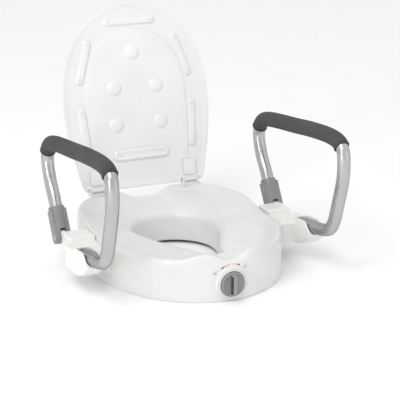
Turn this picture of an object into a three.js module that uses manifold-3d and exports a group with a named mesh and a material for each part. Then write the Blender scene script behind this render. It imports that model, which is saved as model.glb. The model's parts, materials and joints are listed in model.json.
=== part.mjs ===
// Raised toilet seat with a lid, two flip-up padded arms and a front clamp.
// Millimetres, Z up, front of the seat towards -Y, skirt edge on Z = 0.
import * as THREE from 'three';
import { ConvexGeometry } from 'three/addons/geometries/ConvexGeometry.js';
import { mergeVertices } from 'three/addons/utils/BufferGeometryUtils.js';
import Module from 'manifold-3d';

const wasm = await Module();
wasm.setup();

// ---- driving dimensions ----
const ORIGIN_Y = 35.8;      // station that becomes Y = 0, midway along the open seat
const GAP = 0.3;            // working clearance between neighbouring pieces

const SEAT_W = 400;         // width over the skirt
const SEAT_FRONT = -235;    // foremost point of the skirt
const SEAT_REAR = 238;      // rearmost point of the skirt
const SEAT_MID = 10;        // station of greatest width
const WALL = 4;             // moulded wall thickness
const RIM_Z = 88;           // rim height along the sides
const HORN_RISE = 14;       // extra height of the two front horns
const FRONT_DIP = 3;        // dip in the rim between the horns
const SHOULDER_RISE = 15;   // rise of the rim from the arms to the rear
const LOBE_RISE = 3.5;      // extra height of the two rear lobes
const HOLE_FRONT = -160;    // foremost point of the opening
const HOLE_REAR = 150;      // rearmost point of the opening
const HOLE_W = 186;         // greatest width of the opening
const ROLL = 8;             // fall of the seat where it rolls over into the opening
const REAR_ROLL = 8;        // further fall at the rear of the opening
const COLLAR_Z = 6;         // lower edge of the splash collar
const PAD_Z = 22;           // plane of the bowl rim the pads stand on

const ARM_OUT = 50;         // from the side of the skirt to the arm's centre plane
const ARM_X = SEAT_W / 2 + ARM_OUT;
const TUBE_R = 13.5;
const TUBE_WALL = 1.8;
const TUBE_SIDES = 14;
const GRIP_WALL = 3;        // foam and its fit over the tube
const GRIP_R = TUBE_R + GRIP_WALL;
const PIVOT = [74, 73];     // arm pivot (Y, Z)
const LEG_TILT = 31;        // lean of the rear leg at the pivot, degrees
const SLEEVE_WALL = 3.5;    // sleeve and its fit over the tube
const SLEEVE_R = TUBE_R + SLEEVE_WALL;
const SLEEVE_TOP = 66;      // sleeve length above the pivot
const BOSS_R = 16;          // bracket lug round the pivot
const PIN_R = 5;
const RIVET_R = 2.5;
const RIVET_UP = 44;        // rivet above the pivot, along the leg
const SCREW_R = 4;          // bracket screws
const TROUGH_SLOPE = 0.142; // fall of the cradle towards the rear
const TROUGH = [-58, 76.5]; // tube end in the cradle (Y, Z)
const ROOT_X = SEAT_W / 2 + 1; // face of the bracket root

const LID_L = 410;
const LID_LOW = -4;         // lower edge of the lid, measured up from the hinge axis
const LID_W = 348;
const LID_T = 4;
const LID_LIP = 5;
const LID_LEAN = 13.2;      // lean back of the open lid, degrees
const LEDGE_Z = RIM_Z + SHOULDER_RISE; // flat that the hinge blocks stand on
const HINGE = [SEAT_REAR - 9, LEDGE_Z + 13]; // lid hinge axis (Y, Z)
const HINGE_X = 112;
const HINGE_PIN_R = 2.5;
const BARREL_R = 5.6;       // knuckle of the hinge leaf
const LEAF_SCREWS = { low: 20, high: 34 }; // heights up the lid

const KNOB_R = 25.5;
const BEZEL_R = KNOB_R + 5.5;
const KNOB_Z = BEZEL_R + 6; // keeps the ring above the skirt's edge
const SPINDLE_R = 5;
const JAW_BACK = 55;        // clamp jaw behind the skirt's front face
const NUT_R = 9.5;

// ---- finishes ----
const mat = (name, color, roughness, metalness = 0) =>
  Object.assign(new THREE.MeshStandardMaterial({ color, roughness, metalness }), { name });
const WHITE = mat('white_plastic', 0xe9e9e7, 0.35);
const LIDWHITE = mat('lid_plastic', 0xededea, 0.4);
const ALU = mat('anodised_aluminium', 0xc9cbcd, 0.35, 1);
const FOAM = mat('dark_foam', 0x4a4c4c, 0.9);
const GREY = mat('grey_plastic', 0x8c8e90, 0.5);
const KNOBGREY = mat('knob_plastic', 0x8f9192, 0.45);
const STEEL = mat('steel', 0xb9bbbd, 0.3, 1);
const BLACK = mat('black_plastic', 0x2a2b2c, 0.55);
const RUBBER = mat('rubber', 0xb0b1ad, 0.85);

// ---- solids ----
const group = new THREE.Group();
group.name = 'raised_toilet_seat';

// Child group at a point, turned about its own X axis.
function place(parent, x, y, z, turn = 0) {
  const child = new THREE.Group();
  child.position.set(x, y, z);
  child.rotation.x = turn;
  parent.add(child);
  return child;
}
const seat = place(group, 0, -ORIGIN_Y, 0);

function solid(geometry) {
  const g = geometry.clone();
  g.deleteAttribute('normal');
  g.deleteAttribute('uv');
  const m = mergeVertices(g, 1e-4);
  return new wasm.Manifold(new wasm.Mesh({
    numProp: 3,
    vertProperties: new Float32Array(m.attributes.position.array),
    triVerts: new Uint32Array(m.index.array),
  }));
}

function add(parent, name, body, material) {
  const src = body.getMesh();
  const g = new THREE.BufferGeometry();
  g.setAttribute('position', new THREE.BufferAttribute(new Float32Array(src.vertProperties), 3));
  g.setIndex(new THREE.BufferAttribute(new Uint32Array(src.triVerts), 1));
  g.computeVertexNormals();
  const mesh = new THREE.Mesh(g, material);
  mesh.name = name;
  parent.add(mesh);
}

// Closed body skinned over rings of points; a loop joins the last ring to the first.
function skin(rings, loop) {
  const n = rings[0].length;
  const pos = rings.flat().flatMap((p) => [p[0], p[1], p[2]]);
  const idx = [];
  const last = loop ? rings.length : rings.length - 1;
  for (let i = 0; i < last; i++) {
    const a = i * n;
    const b = ((i + 1) % rings.length) * n;
    for (let j = 0; j < n; j++) {
      const k = (j + 1) % n;
      idx.push(a + j, a + k, b + k, a + j, b + k, b + j);
    }
  }
  const g = new THREE.BufferGeometry();
  g.setAttribute('position', new THREE.Float32BufferAttribute(pos, 3));
  g.setIndex(idx);
  const body = solid(g);
  if (body.volume() > 0) return body;
  g.setIndex(idx.map((v, i) => idx[i - (i % 3) + 2 - (i % 3)]));
  return solid(g);
}

const box = (x0, x1, y0, y1, z0, z1) =>
  solid(new THREE.BoxGeometry(x1 - x0, y1 - y0, z1 - z0)
    .translate((x0 + x1) / 2, (y0 + y1) / 2, (z0 + z1) / 2));
const upright = (r, length, seg) =>
  new THREE.CylinderGeometry(r, r, length, seg, 1, false, Math.PI / 2).rotateX(Math.PI / 2);
const rodZ = (r, z0, z1, seg = 24) =>
  solid(upright(r, z1 - z0, seg).translate(0, 0, (z0 + z1) / 2));
const rodX = (r, x0, x1, y, z, seg = 24) =>
  solid(upright(r, x1 - x0, seg).rotateY(Math.PI / 2).translate((x0 + x1) / 2, y, z));
const rodY = (r, y0, y1, x, z, seg = 24) =>
  solid(upright(r, y1 - y0, seg).rotateX(-Math.PI / 2).translate(x, (y0 + y1) / 2, z));
const carried = (outline, depth) => new THREE.ExtrudeGeometry(
  new THREE.Shape(outline.map(([u, v]) => new THREE.Vector2(u, v))), { depth, bevelEnabled: false });
// An (X, Y) outline carried along Z, and a (Y, Z) outline carried along X.
const plate = (outline, z0, z1) => solid(carried(outline, z1 - z0).translate(0, 0, z0));
const slab = (outline, x0, x1) =>
  solid(carried(outline, x1 - x0).rotateX(Math.PI / 2).rotateZ(Math.PI / 2).translate(x0, 0, 0));
// Smallest convex body round several others.
function hull(...bodies) {
  const points = bodies.flatMap((body) => {
    const at = body.getMesh().vertProperties;
    return [...Array(at.length / 3)].map((_, i) => new THREE.Vector3().fromArray(at, 3 * i));
  });
  return solid(new ConvexGeometry(points));
}
const both = (make) => { for (const [s, tag] of [[-1, 'L'], [1, 'R']]) make(s, tag); };
const side = (body, s) => (s < 0 ? body.mirror([1, 0, 0]) : body);
const ease = (t) => { const u = Math.min(1, Math.max(0, t)); return u * u * (3 - 2 * u); };

// ---- seat shell ----
// Egg-shaped plan: fuller corners at the rear than at the front.
function planPoint(a, inset) {
  const c = Math.cos(a);
  const s = Math.sin(a);
  const p = s > 0 ? 3.5 : 2;
  const reach = s > 0 ? SEAT_REAR - SEAT_MID : SEAT_MID - SEAT_FRONT;
  const k = (Math.abs(c) ** p + Math.abs(s) ** p) ** (-1 / p);
  const x = (SEAT_W / 2) * k * c;
  const y = reach * k * s;
  const m = Math.hypot(x / (SEAT_W / 2) ** 2, y / reach ** 2);
  return [x - (inset * x) / (SEAT_W / 2) ** 2 / m, SEAT_MID + y - (inset * y) / reach ** 2 / m];
}

// Keyhole opening: round at the rear, drawn to a narrow tongue at the front.
function holePoint(a, grow) {
  const mid = (HOLE_FRONT + HOLE_REAR) / 2;
  const y = mid + ((HOLE_REAR - HOLE_FRONT) / 2) * Math.sin(a);
  const rearR = HOLE_W / 2;
  const shoulder = HOLE_REAR - rearR;
  let w = rearR;
  if (y > shoulder) w = Math.sqrt(Math.max(0, rearR ** 2 - (y - shoulder) ** 2));
  else w = 20 + (rearR - 20) * ease((y - HOLE_FRONT + 10) / (shoulder - HOLE_FRONT + 10));
  const nose = (y - HOLE_FRONT) / 20;
  if (nose < 1) w *= Math.sqrt(Math.max(0, 1 - (1 - nose) ** 2));
  const x = Math.sign(Math.cos(a)) * w;
  const d = Math.hypot(Math.cos(a), Math.sin(a));
  return [x + (grow * Math.cos(a)) / d, y + (grow * Math.sin(a)) / d];
}

function rimHeight(x, y) {
  const front = ease((-y - 140) / 70);
  const horn = Math.exp(-(((Math.abs(x) - 54) / 30) ** 2)) * HORN_RISE;
  const dip = Math.exp(-((x / 22) ** 2)) * (FRONT_DIP + HORN_RISE * 0.1);
  const shoulder = ease((y - 10) / 120) * SHOULDER_RISE;
  const rear = ease((y - 150) / 70);
  const middle = 1 - ease((Math.abs(x) - 20) / 48);
  const lobe = rear * (LOBE_RISE - middle * (SHOULDER_RISE + LOBE_RISE));
  return RIM_Z + front * (horn - dip) + shoulder + lobe;
}

const SEG = 68;
const angles = [...Array(SEG)].map((_, i) => ((i + 0.5) / SEG) * 2 * Math.PI);
const shellRings = [];
const ringAt = (f) => shellRings.push(angles.map(f));
// The seat rolls over into the opening, deeper and wider towards the rear.
const rollAt = (a, t) => {
  const rear = ease(Math.sin(a));
  return (ROLL + REAR_ROLL * rear) * Math.max(0, 1 - t / (0.28 + 0.3 * rear)) ** 2.2;
};
const seatZ = (a, t) => {
  const [ox, oy] = planPoint(a, 0);
  const [, hy] = holePoint(a, 0);
  const top = rimHeight(ox, oy);
  const edge = RIM_Z - 10 + 4 * ease((-hy - 60) / 60) + 4 * ease((hy - 60) / 80);
  return edge + (top - edge) * (0.25 * t + 0.75 * t ** 1.8) - rollAt(a, t);
};
const between = (a, t, inset, drop) => {
  const [ox, oy] = planPoint(a, inset);
  const [hx, hy] = holePoint(a, 0);
  return [hx + (ox - hx) * t, hy + (oy - hy) * t, seatZ(a, t) - drop];
};
const collarZ = (a) => {
  const [, hy] = holePoint(a, 0);
  return COLLAR_Z + (58 - COLLAR_Z) * ease((-hy - 30) / 70);
};
const wallPoint = (a, inset, z) => [...planPoint(a, inset), z];
const rimOf = (a) => rimHeight(...planPoint(a, 0));
ringAt((a) => wallPoint(a, 0, 0));
ringAt((a) => wallPoint(a, 0, 30));
ringAt((a) => wallPoint(a, 0, rimOf(a) - 12));
ringAt((a) => wallPoint(a, 2.5, rimOf(a) - 4));
ringAt((a) => wallPoint(a, 8, rimOf(a)));
for (const t of [0.8, 0.5, 0.24, 0.08]) ringAt((a) => between(a, t, 8, 1.2));
ringAt((a) => [...holePoint(a, 0), seatZ(a, 0) - 4]);
ringAt((a) => [...holePoint(a, -3), collarZ(a)]);
ringAt((a) => [...holePoint(a, 0.5), collarZ(a)]);
ringAt((a) => [...holePoint(a, WALL), seatZ(a, 0) - 8]);
for (const t of [0.24, 0.5, 0.8]) ringAt((a) => between(a, t, 8, 1.2 + WALL));
ringAt((a) => wallPoint(a, 9, rimOf(a) - WALL - 1));
ringAt((a) => wallPoint(a, WALL, rimOf(a) - 14));
ringAt((a) => wallPoint(a, WALL, 30));
ringAt((a) => wallPoint(a, WALL, 0));
let shell = skin(shellRings, true);

const screwSpots = [[-40, 56], [38, 62]];
const padSpots = [[118, 70, RIM_Z - 11.5], [96, -108, RIM_Z - 8.5]];
both((s) => {
  shell = shell.add(side(box(SEAT_W / 2 - 20, ROOT_X - GAP, -66, 62, 26, 82), s));
  for (const [y, z] of screwSpots) {
    shell = shell.subtract(side(rodX(SCREW_R + GAP, SEAT_W / 2 - 30, SEAT_W / 2 + 10, y, z), s));
  }
  for (const [x, y, top] of padSpots) {
    shell = shell.add(side(box(x - 12, x + 12, y - 9, y + 9, PAD_Z + 4 + GAP, top), s));
  }
  shell = shell.subtract(side(box(HINGE_X - 22, HINGE_X + 22, HINGE[0] - 14, SEAT_REAR + 22,
    LEDGE_Z, LEDGE_Z + 27), s));
  shell = shell.add(side(box(20, 26, SEAT_FRONT + 4, SEAT_FRONT + 14 - GAP,
    KNOB_Z - 7, KNOB_Z + 11), s));
});
shell = shell.add(rodY(BEZEL_R + 4, SEAT_FRONT - 3.5, SEAT_FRONT + 7, 0, KNOB_Z, 48));
shell = shell.subtract(rodY(BEZEL_R + GAP, SEAT_FRONT - 5, SEAT_FRONT + 1.7, 0, KNOB_Z, 48));
shell = shell.subtract(rodY(SPINDLE_R + 1, SEAT_FRONT - 5, SEAT_FRONT + 13, 0, KNOB_Z));
add(seat, 'seat_shell', shell, WHITE);

padSpots.forEach(([x, y], i) => both((s, tag) => {
  const foot = box(x - 14, x + 14, y - 11, y + 11, PAD_Z, PAD_Z + 4);
  add(seat, `rim_pad_${i ? 'front' : 'rear'}_${tag}`, side(foot, s), RUBBER);
}));

// ---- front clamp ----
// Laid out round the spindle: Y runs back from the skirt's front face.
const clamp = place(seat, 0, SEAT_FRONT, KNOB_Z);
const washer = (r0, r1, y0, y1) =>
  rodY(r1, y0, y1, 0, 0, 32).subtract(rodY(r0, y0 - 1, y1 + 1, 0, 0, 32));
const upDown = (w, y0, y1, reach) => box(-w, w, y0, y1, -reach, reach);
add(clamp, 'knob_bezel', washer(KNOB_R + 1, BEZEL_R, -4.5, 1.4), WHITE);

let knob = rodY(KNOB_R, -8, 1, 0, 0, 40).add(rodY(KNOB_R - 1.5, -9.5, -7, 0, 0, 40));
knob = knob.subtract(upDown(13, -11, -6, KNOB_R - 4.5));
knob = knob.add(hull(upDown(6.5, -7, -5, KNOB_R - 1.5), upDown(4.5, -19, -17, KNOB_R - 6.5)));
knob = knob.subtract(upDown(0.9, -21, -18, KNOB_R - 9.5));
knob = knob.subtract(rodY(SPINDLE_R + GAP, -5 - GAP, 5, 0, 0));
add(clamp, 'knob', knob, KNOBGREY);
add(clamp, 'spindle', rodY(SPINDLE_R, -5, JAW_BACK + 18, 0, 0), STEEL);
add(clamp, 'spindle_collar', washer(SPINDLE_R + GAP, 10, 7.4, 11), BLACK);

const guide = box(-31, 31, 14, JAW_BACK + 20, -9, 13)
  .subtract(box(-27, 27, 18, JAW_BACK + 30, -17, 23))
  .subtract(rodY(SPINDLE_R + 1.5, 5, 25, 0, 0));
add(clamp, 'clamp_guide', guide, GREY);
const jaw = box(-27 + GAP, 27 - GAP, JAW_BACK, JAW_BACK + 10, 3 - KNOB_Z, 11)
  .subtract(rodY(SPINDLE_R + 0.6, JAW_BACK - 1, JAW_BACK + 11, 0, 0))
  .subtract(rodY(NUT_R, JAW_BACK + 2, JAW_BACK + 11, 0, 0, 6));
add(clamp, 'clamp_jaw', jaw, GREY);
add(clamp, 'jaw_nut', rodY(NUT_R - GAP, JAW_BACK + 2 + GAP, JAW_BACK + 10, 0, 0, 6)
  .subtract(rodY(SPINDLE_R + GAP, JAW_BACK, JAW_BACK + 12, 0, 0)), STEEL);
add(clamp, 'jaw_pad', box(-24, 24, JAW_BACK - 4, JAW_BACK - GAP, 4 - KNOB_Z, 21 - KNOB_Z), RUBBER);

// ---- lid hinges ----
// Laid out flat round the hinge axis, then stood up: X across, Y up the lid, Z out of its underside.
const lidFrame = place(seat, 0, ...HINGE, ((90 - LID_LEAN) * Math.PI) / 180);
both((s, tag) => {
  const x0 = HINGE_X - 20;
  const x1 = HINGE_X + 20;
  const [hy, hz] = HINGE;
  const bore = (y, z) => rodX(HINGE_PIN_R + GAP, x0 - 1, x1 + 1, y, z);
  let block = box(x0, x1, hy - 13, hy + 8, LEDGE_Z + GAP, hz - BARREL_R - 0.7);
  for (const [a, b] of [[x0, x0 + 6], [x1 - 6, x1]]) {
    block = block.add(hull(
      rodX(BARREL_R + 0.6, a, b, hy, hz),
      box(a, b, hy - BARREL_R - 0.6, hy + BARREL_R + 0.6, LEDGE_Z + 1, LEDGE_Z + 2)));
  }
  add(seat, `hinge_block_${tag}`, side(block.subtract(bore(hy, hz)), s), WHITE);
  let leaf = hull(
    box(x0 + 6 + GAP, x1 - 6 - GAP, 3, 5, GAP, 3.2),
    box(x0 + 9, x1 - 9, 42, 44, GAP, 2.2));
  leaf = leaf.add(rodX(BARREL_R, x0 + 6 + GAP, x1 - 6 - GAP, 0, 0)).subtract(bore(0, 0));
  for (const [end, v] of Object.entries(LEAF_SCREWS)) {
    leaf = leaf.subtract(rodZ(2.2, -1, 5).translate([HINGE_X, v, 0]));
    const screw = rodZ(1.9, -3, 2.4, 16).add(rodZ(3.6, 3.3, 5.2, 16))
      .add(rodZ(1.9, 2, 4, 16)).translate([HINGE_X, v, 0]);
    add(lidFrame, `leaf_screw_${end}_${tag}`, side(screw, s), STEEL);
  }
  add(lidFrame, `hinge_leaf_${tag}`, side(leaf, s), WHITE);
  add(seat, `hinge_pin_${tag}`, side(rodX(HINGE_PIN_R, x0 - 1.5, x1 + 1.5, hy, hz, 16), s), STEEL);
});

// ---- lid ----
// Half width of the lid at a height v above its lower edge.
function lidHalf(v, inset) {
  const t = v / LID_L;
  const low = 0.82 + 0.18 * Math.sin((Math.min(t, 0.46) / 0.46) * (Math.PI / 2));
  const corner = Math.sqrt(Math.max(0, 1 - Math.max(0, 1 - v / 14) ** 2));
  const crown = t > 0.46 ? Math.max(0, 1 - ((t - 0.46) / 0.54) ** 2.3) ** 0.5 : 1;
  return Math.max(0, (LID_W / 2) * low * (0.94 + 0.06 * corner) * crown - inset);
}
const ROWS = 22;
function lidOutline(inset) {
  const rows = [];
  for (let i = 0; i <= ROWS; i++) {
    const v = (1 - Math.cos((i / ROWS) * Math.PI)) / 2;
    rows.push(LID_LOW + inset + v * (LID_L - 2 * inset));
  }
  const right = rows.map((y, i) => [
    i === ROWS ? 0 : Math.max(2, lidHalf(y - LID_LOW, inset)), y]);
  return [...right, ...right.slice(0, -1).reverse().map(([x, y]) => [-x, y])];
}
let lid = plate(lidOutline(0), -LID_T, 0)
  .add(plate(lidOutline(0), -0.5, LID_LIP).subtract(plate(lidOutline(5), -1, LID_LIP + 1)));
const stub = (x, y, r, h) => rodZ(r, -1, h, 16).translate([x, y, 0]);
for (const [x, y] of [[0, 298], [50, 220], [-50, 220], [53, 138], [-53, 138]]) {
  lid = lid.add(stub(x, y, 15, 3).subtract(rodZ(10.5, 1.2, 5, 16).translate([x, y, 0])));
}
const bar = (x0, y0, x1, y1, r) => hull(stub(x0, y0, r, 3.5), stub(x1, y1, r, 3.5));
lid = lid.add(bar(-52, 367, 52, 367, 9)).add(bar(-54, 70, 54, 70, 12));
both((s) => {
  lid = lid.add(bar(s * 104, 322, s * 129, 243, 9)).add(bar(s * 132, 172, s * 125, 84, 9));
});
// Finger notch in the free edge and room for the two hinge straps at the lower edge.
lid = lid.subtract(box(-12, 12, LID_LOW + LID_L - 5.5, LID_LOW + LID_L + 10, -1, LID_LIP + 1));
both((s) => {
  lid = lid.subtract(side(box(HINGE_X - 15, HINGE_X + 15, -10, 48, 0, LID_LIP + 1), s));
  lid = lid.subtract(side(box(HINGE_X - 22.5, HINGE_X + 22.5, -10, 8.5, -LID_T - 1, LID_LIP + 1), s));
  for (const v of Object.values(LEAF_SCREWS)) {
    lid = lid.subtract(side(rodZ(2.2, -3.3, 1).translate([HINGE_X, v, 0]), s));
  }
});
add(lidFrame, 'lid', lid, LIDWHITE);

// ---- arms ----
const tilt = (LEG_TILT * Math.PI) / 180;
const legAt = (d) => [PIVOT[0] + d * Math.sin(tilt), PIVOT[1] + d * Math.cos(tilt)];
const cradleAt = (y) => [y, TROUGH[1] - (y - TROUGH[0]) * TROUGH_SLOPE];
const line = new THREE.CatmullRomCurve3([
  cradleAt(TROUGH[0]), cradleAt(-88), cradleAt(-128), [-160, 92.5], [-184, 103],
  [-199, 124], [-209, 152], [-220, 186], [-230, 222], [-232, 252], [-228, 279], [-212, 294],
  [-180, 299], [-100, 294.5], [-20, 285], [60, 276], [108, 269], [134, 261], [150, 246],
  [156, 224], [150, 198], [137, 172], legAt(90), legAt(66), legAt(22),
].map(([y, z]) => new THREE.Vector3(0, y, z)), false, 'centripetal');
const STEPS = 48;
const stations = [...Array(STEPS + 1)].map((_, i) => line.getPoint(i / STEPS));
const headings = stations.map((_, i) => line.getTangent(i / STEPS));

function ringRound(i, r, seg) {
  const p = stations[i];
  const t = headings[i];
  return [...Array(seg)].map((_, j) => {
    const a = (j / seg) * 2 * Math.PI;
    const up = r * Math.sin(a);
    return [r * Math.cos(a), p.y - t.z * up, p.z + t.y * up];
  });
}
function pipe(i0, i1, rOut, rIn, seg) {
  const rings = [];
  for (let i = i0; i <= i1; i++) rings.push(ringRound(i, rOut, seg));
  for (let i = i1; i >= i0; i--) rings.push(ringRound(i, rIn, seg));
  return skin(rings, true);
}
const tube = pipe(0, STEPS, TUBE_R, TUBE_R - TUBE_WALL, TUBE_SIDES);
const nearest = (y, z) => stations.reduce((best, p, i) =>
  (Math.hypot(p.y - y, p.z - z) < Math.hypot(stations[best].y - y, stations[best].z - z)
    ? i : best), 0);
const gripFrom = nearest(-215, 289);
const gripTo = nearest(150, 247);
const grip = pipe(gripFrom, gripTo, GRIP_R, TUBE_R + GAP, TUBE_SIDES);

const LUG = [-6, 5];          // faces of the bracket's lug, from the arm's centre plane
const SLOT = [LUG[0] - 0.5, LUG[1] + 0.5];
const rivetBore = () => rodX(RIVET_R + GAP, -30, 30, 0, RIVET_UP, 20);
// The sleeve stands on the pivot, with the leg's own direction as Z.
const sleeveBody = () => {
  let b = rodZ(SLEEVE_R, 10, SLEEVE_TOP, 32);
  for (const [x0, x1] of [[-SLEEVE_R, SLOT[0]], [SLOT[1], SLEEVE_R]]) {
    b = b.add(box(x0, x1, -13, 13, 0, SLEEVE_TOP - 6));
    b = b.add(rodX(13, x0, x1, 0, 0, 32));
  }
  b = b.subtract(box(...SLOT, -30, 30, -20, BOSS_R + 0.6));
  b = b.subtract(rodZ(TUBE_R + GAP, 21.5, SLEEVE_TOP + 1, 32));
  return b.subtract(rodX(PIN_R + GAP, -SLEEVE_R - 3, SLEEVE_R + 3, 0, 0)).subtract(rivetBore());
};

// ---- brackets ----
const slope = -Math.atan(TROUGH_SLOPE);
const degrees = (angle) => (angle * 180) / Math.PI;
const trough = () => {
  const r = TUBE_R + 0.8;
  const cut = rodY(r, -120, 6, 0, 0, 32).add(box(-r, r, -120, 6, 0, 40));
  return cut.rotate([degrees(slope), 0, 0]).translate([ARM_X, ...TROUGH]);
};
const bracketBody = () => {
  const web = slab([[-60, 36], [10, 32], [58, 44], [58, 82], [-60, 82]],
    ROOT_X, ARM_X - 10);
  const block = slab([[5, 34], [34, 40], [58, 52], [58, 90], [56, 92], [7, 92], [5, 90]],
    ROOT_X, ARM_X + LUG[1]);
  const faces = LUG.map((x) => ARM_X + x);
  const lug = hull(rodX(BOSS_R, ...faces, ...PIVOT, 32), box(...faces, 52, 58, 54, 90));
  const cradle = slab([[6, 34], [6, 82], [-42, 84], [-50, 92], [-101, 97], [-108, 92],
    [-122, 78], [-124, 68], [-116, 58], [-98, 46], [-72, 38], [-36, 33]],
  ARM_X - TUBE_R - 5, ARM_X + TUBE_R + 5);
  let b = web.add(block).add(lug).add(cradle).subtract(trough());
  b = b.subtract(rodX(PIN_R + GAP, faces[0] - 1, faces[1] + 1, ...PIVOT));
  for (const [y, z] of screwSpots) {
    b = b.subtract(rodX(SCREW_R + GAP, ROOT_X - 1, ROOT_X + 21, y, z));
  }
  return b;
};

// The tube's bore is narrower across its flats than across its corners.
const boreR = (TUBE_R - TUBE_WALL) * Math.cos(Math.PI / TUBE_SIDES);
both((s, tag) => {
  add(seat, `arm_bracket_${tag}`, side(bracketBody(), s), WHITE);
  screwSpots.forEach(([y, z], i) => {
    const screw = rodX(SCREW_R, ROOT_X - 25, ROOT_X + 20, y, z, 20)
      .add(rodX(SCREW_R + 3, ROOT_X - 26, ROOT_X - 21.6, y, z, 20));
    add(seat, `bracket_screw_${i ? 'rear' : 'front'}_${tag}`, side(screw, s), STEEL);
  });
  const arm = place(seat, s * ARM_X, 0, 0);
  const leg = place(arm, 0, ...PIVOT, -tilt);
  const end = place(arm, 0, ...TROUGH, slope);
  const across = rivetBore().rotate([degrees(-tilt), 0, 0]).translate([0, ...PIVOT]);
  add(arm, `arm_tube_${tag}`, tube.subtract(across), ALU);
  add(arm, `arm_grip_${tag}`, grip, FOAM);
  add(leg, `arm_sleeve_${tag}`, side(sleeveBody(), s), GREY);
  add(leg, `sleeve_rivet_${tag}`, rodX(RIVET_R, 0.4 - SLEEVE_R, SLEEVE_R - 0.4, 0, RIVET_UP, 16), STEEL);
  add(arm, `pivot_pin_${tag}`, rodX(PIN_R, 0.5 - SLEEVE_R, SLEEVE_R - 0.5, ...PIVOT, 20), STEEL);
  const plug = rodY(boreR - GAP, GAP - 14, 0, 0, 0, 20)
    .add(rodY(TUBE_R - 0.4, GAP, 2.6, 0, 0, 20)).add(rodY(6, -1, 1, 0, 0, 12));
  add(end, `tube_cap_${tag}`, plug, BLACK);
});

export default group;
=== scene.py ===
import json
import math
import bpy
import bmesh
from mathutils import Matrix, Vector


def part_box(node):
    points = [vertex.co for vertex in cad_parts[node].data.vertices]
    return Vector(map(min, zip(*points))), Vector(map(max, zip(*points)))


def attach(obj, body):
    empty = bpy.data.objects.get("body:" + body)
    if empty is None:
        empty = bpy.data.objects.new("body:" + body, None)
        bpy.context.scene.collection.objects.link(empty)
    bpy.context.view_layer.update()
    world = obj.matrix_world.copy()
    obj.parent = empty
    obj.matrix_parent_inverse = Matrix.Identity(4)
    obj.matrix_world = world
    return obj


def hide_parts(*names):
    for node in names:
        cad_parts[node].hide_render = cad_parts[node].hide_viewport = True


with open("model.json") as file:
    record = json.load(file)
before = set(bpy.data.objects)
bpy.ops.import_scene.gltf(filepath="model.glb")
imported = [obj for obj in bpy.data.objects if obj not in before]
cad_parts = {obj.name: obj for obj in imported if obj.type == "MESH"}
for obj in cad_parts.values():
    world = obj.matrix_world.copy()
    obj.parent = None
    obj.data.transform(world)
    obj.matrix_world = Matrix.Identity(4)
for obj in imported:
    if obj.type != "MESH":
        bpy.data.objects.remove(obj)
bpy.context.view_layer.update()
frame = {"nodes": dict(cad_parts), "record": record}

# ---- seat shell ----
# One hollow white moulding, 4 mm thick: a tall skirt that goes over the bowl rim, a seat that
# falls inwards to a keyhole opening, and a splash collar below it. It stands on four rubber pads.
mm = 0.001
seat_low, seat_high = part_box("seat_shell")
seat_half = 0.200
seat_front = seat_low.y + 3.5 * mm
seat_rear = seat_high.y
seat_mid = seat_front + 0.245
rim_height = 0.088
wall = 4 * mm
hole_front = seat_front + 0.075
hole_rear = seat_rear - 0.088
hole_half = 0.093
hole_nose = 0.020
hole_edge = 0.078
collar_low, collar_climb = 0.006, 0.052
horn_x, horn_wide, horn_rise = 0.054, 0.030, 0.014
dip_wide, dip_fall = 0.022, 0.0044
shoulder_rise, lobe_rise, middle_fall = 0.015, 0.0035, 0.0185
roll, rear_roll = 8 * mm, 8 * mm
crease_deep, crease_at, crease_wide = 3.0 * mm, 0.80, 0.055
rim_inset = 8 * mm
around = 112


def ease(t):
    t = min(1.0, max(0.0, t))
    return t * t * (3 - 2 * t)


def skirt_point(turn, inset):
    c, s = math.cos(turn), math.sin(turn)
    fullness = 3.5 if s > 0 else 2.0
    reach = seat_rear - seat_mid if s > 0 else seat_mid - seat_front
    k = (abs(c) ** fullness + abs(s) ** fullness) ** (-1 / fullness)
    x, y = seat_half * k * c, reach * k * s
    slope = math.hypot(x / seat_half**2, y / reach**2)
    return (x - inset * x / seat_half**2 / slope,
            seat_mid + y - inset * y / reach**2 / slope)


def hole_point(turn, grow=0.0):
    c, s = math.cos(turn), math.sin(turn)
    y = (hole_front + hole_rear) / 2 + (hole_rear - hole_front) / 2 * s
    shoulder = hole_rear - hole_half
    if y > shoulder:
        half = math.sqrt(max(0.0, hole_half**2 - (y - shoulder) ** 2))
    else:
        along = (y - hole_front + 0.01) / (shoulder - hole_front + 0.01)
        half = hole_nose + (hole_half - hole_nose) * ease(along)
    nose = (y - hole_front) / hole_nose
    if nose < 1:
        half *= math.sqrt(max(0.0, 1 - (1 - nose) ** 2))
    return math.copysign(half, c) + grow * c, y + grow * s


def rim_at(x, y):
    front = ease((seat_front + 0.095 - y) / 0.070)
    horn = math.exp(-(((abs(x) - horn_x) / horn_wide) ** 2)) * horn_rise
    dip = math.exp(-((x / dip_wide) ** 2)) * dip_fall
    shoulder = ease((y - seat_mid) / 0.120) * shoulder_rise
    rear = ease((y - seat_rear + 0.088) / 0.070)
    middle = 1 - ease((abs(x) - 0.020) / 0.048)
    lobe = rear * (lobe_rise - middle * middle_fall)
    return rim_height + front * (horn - dip) + shoulder + lobe


def rim_of(turn):
    return rim_at(*skirt_point(turn, 0))


def seat_level(turn, t):
    top = rim_of(turn)
    y = hole_point(turn)[1]
    edge = hole_edge + 0.004 * (ease((-y - 0.096) / 0.060) + ease((y - 0.024) / 0.080))
    # the edge of the opening rolls over, deeper and wider towards the rear
    rear = ease(math.sin(turn))
    fall = (roll + rear_roll * rear) * max(0.0, 1 - t / (0.28 + 0.3 * rear)) ** 2.2
    return edge + (top - edge) * (0.25 * t + 0.75 * t**1.8) - fall


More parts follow.
